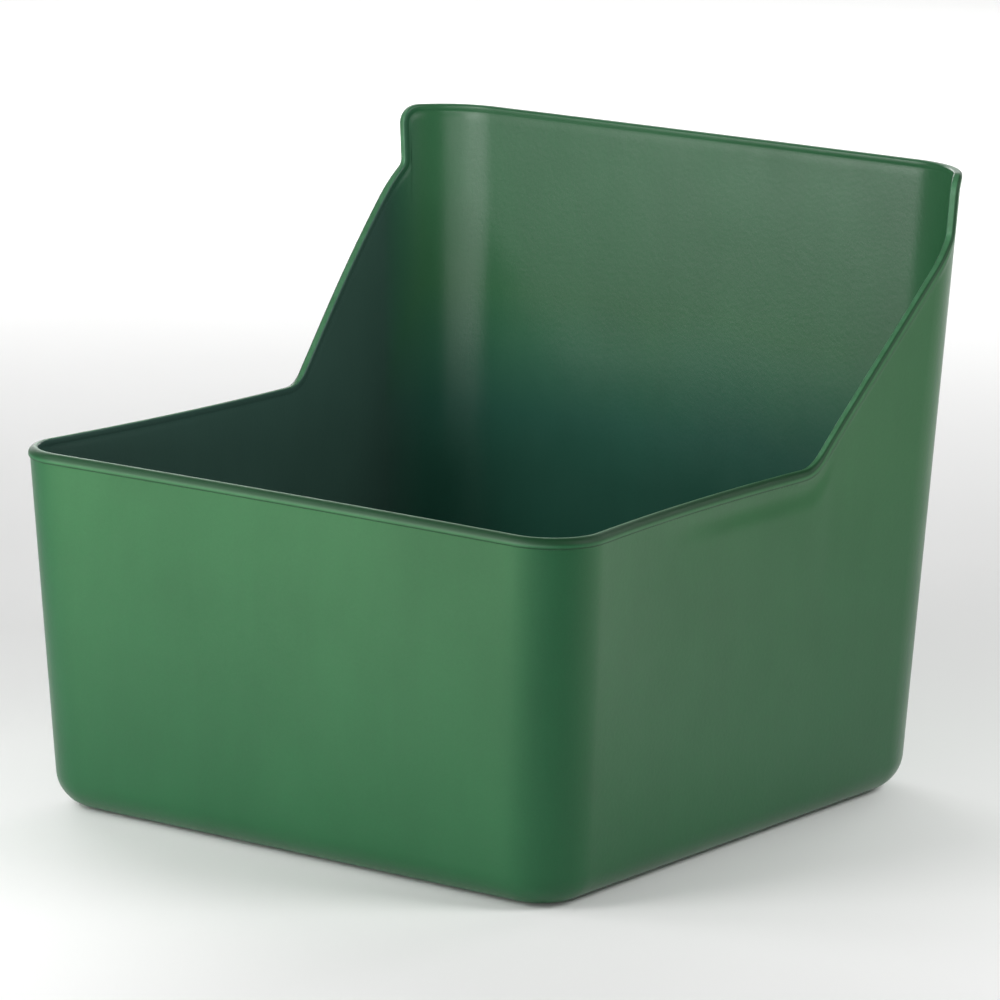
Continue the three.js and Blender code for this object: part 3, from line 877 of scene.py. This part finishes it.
def floor():
    n = 96
    ang = np.linspace(0, 2 * math.pi, n, endpoint=False)
    pts = [(0.0, 0.0, -0.0004)]
    faces = []
    radii = (0.5, 1.5, 4.0, 9.0, 16.0)
    for r in radii:
        pts += [(r * math.cos(a), r * math.sin(a), -0.0004) for a in ang]
    faces += [(0, 1 + j, 1 + (j + 1) % n) for j in range(n)]
    for i in range(len(radii) - 1):
        a, b = 1 + i * n, 1 + (i + 1) * n
        faces += [(a + j, b + j, b + (j + 1) % n, a + (j + 1) % n) for j in range(n)]
    me = bpy.data.meshes.new("studio_floor")
    me.from_pydata(pts, [], faces)
    me.update()
    ob = bpy.data.objects.new("studio_floor", me)
    scene.collection.objects.link(ob)
    m = bpy.data.materials.new("studio_floor")
    k = Nodes(m)
    where = k.node("ShaderNodeTexCoord").outputs["Object"]
    tone = k.mix(k.ramp(k.noise(where, 3.0, 3.0), 0.3, 0.7), (0.905, 0.905, 0.90, 1), (0.925, 0.925, 0.92, 1))
    k.put(k.bsdf.inputs["Base Color"], tone)
    k.bsdf.inputs["Roughness"].default_value = 0.9
    k.bsdf.inputs["Specular IOR Level"].default_value = 0.1
    me.materials.append(m)
    return ob


floor()


def area(name, az, el, distance, size, power, colour=(1, 1, 1), aim=(0, 0, 0.16), size_y=None):
    """A soft panel: az 0 is straight ahead of the front, and 90 is to the right"""
    data = bpy.data.lights.new(name, "AREA")
    data.shape = "RECTANGLE"
    data.size, data.size_y = size, size_y or size
    data.energy = power
    data.color = colour
    ob = bpy.data.objects.new(name, data)
    a, e = math.radians(az), math.radians(el)
    d = Vector((math.sin(a) * math.cos(e), -math.cos(a) * math.cos(e), math.sin(e)))
    ob.location = Vector(aim) + d * distance
    ob.rotation_mode = "QUATERNION"
    ob.rotation_quaternion = (-d).to_track_quat("-Z", "Y")
    ob.visible_camera = False
    scene.collection.objects.link(ob)
    return ob


LIGHTS = [
    # azimuth, elevation, distance, width, height, power
    (-120, 15, 3.0, 1.5, 1.4, 38.24),
    (-15, 22, 0.9, 0.4, 0.4, 3.95),
    (-180, 15, 3.0, 1.5, 1.4, 37.23),
    (100, 30, 1.0, 0.4, 0.4, 5.02),
    (-150, 15, 3.0, 1.5, 1.4, 6.14),
    (120, 15, 3.0, 1.5, 1.4, 9.00),
    (-30, 3.5, 3.0, 1.1, 0.6, 16.00),
    (-37, 35, 0.6, 0.25, 0.25, 0.70),
    (-37, 12, 0.6, 0.22, 0.22, 0.22),
    (10, 3.5, 3.0, 1.1, 0.6, 14.34),
    (-10, 3.5, 3.0, 1.1, 0.6, 13.77),
    (30, 3.5, 3.0, 1.1, 0.6, 12.04),
]
for i, (az, el, dist, wide, tall, power) in enumerate(LIGHTS):
    area(f"panel_{i + 1}", az, el, dist, wide, power, size_y=tall)
# a wash from above on the floor far behind
wash = area("wash", 0, 90, 2.0, 4.5, 125.0, (1, 1, 1), aim=(-3.0, 4.3, 0.0))

world = bpy.data.worlds.new("studio")
scene.world = world
world.use_nodes = True
bg = world.node_tree.nodes.get("Background") or world.node_tree.nodes.new("ShaderNodeBackground")
bg.inputs["Color"].default_value = (1.0, 1.0, 1.0, 1)
bg.inputs["Strength"].default_value = 0.024
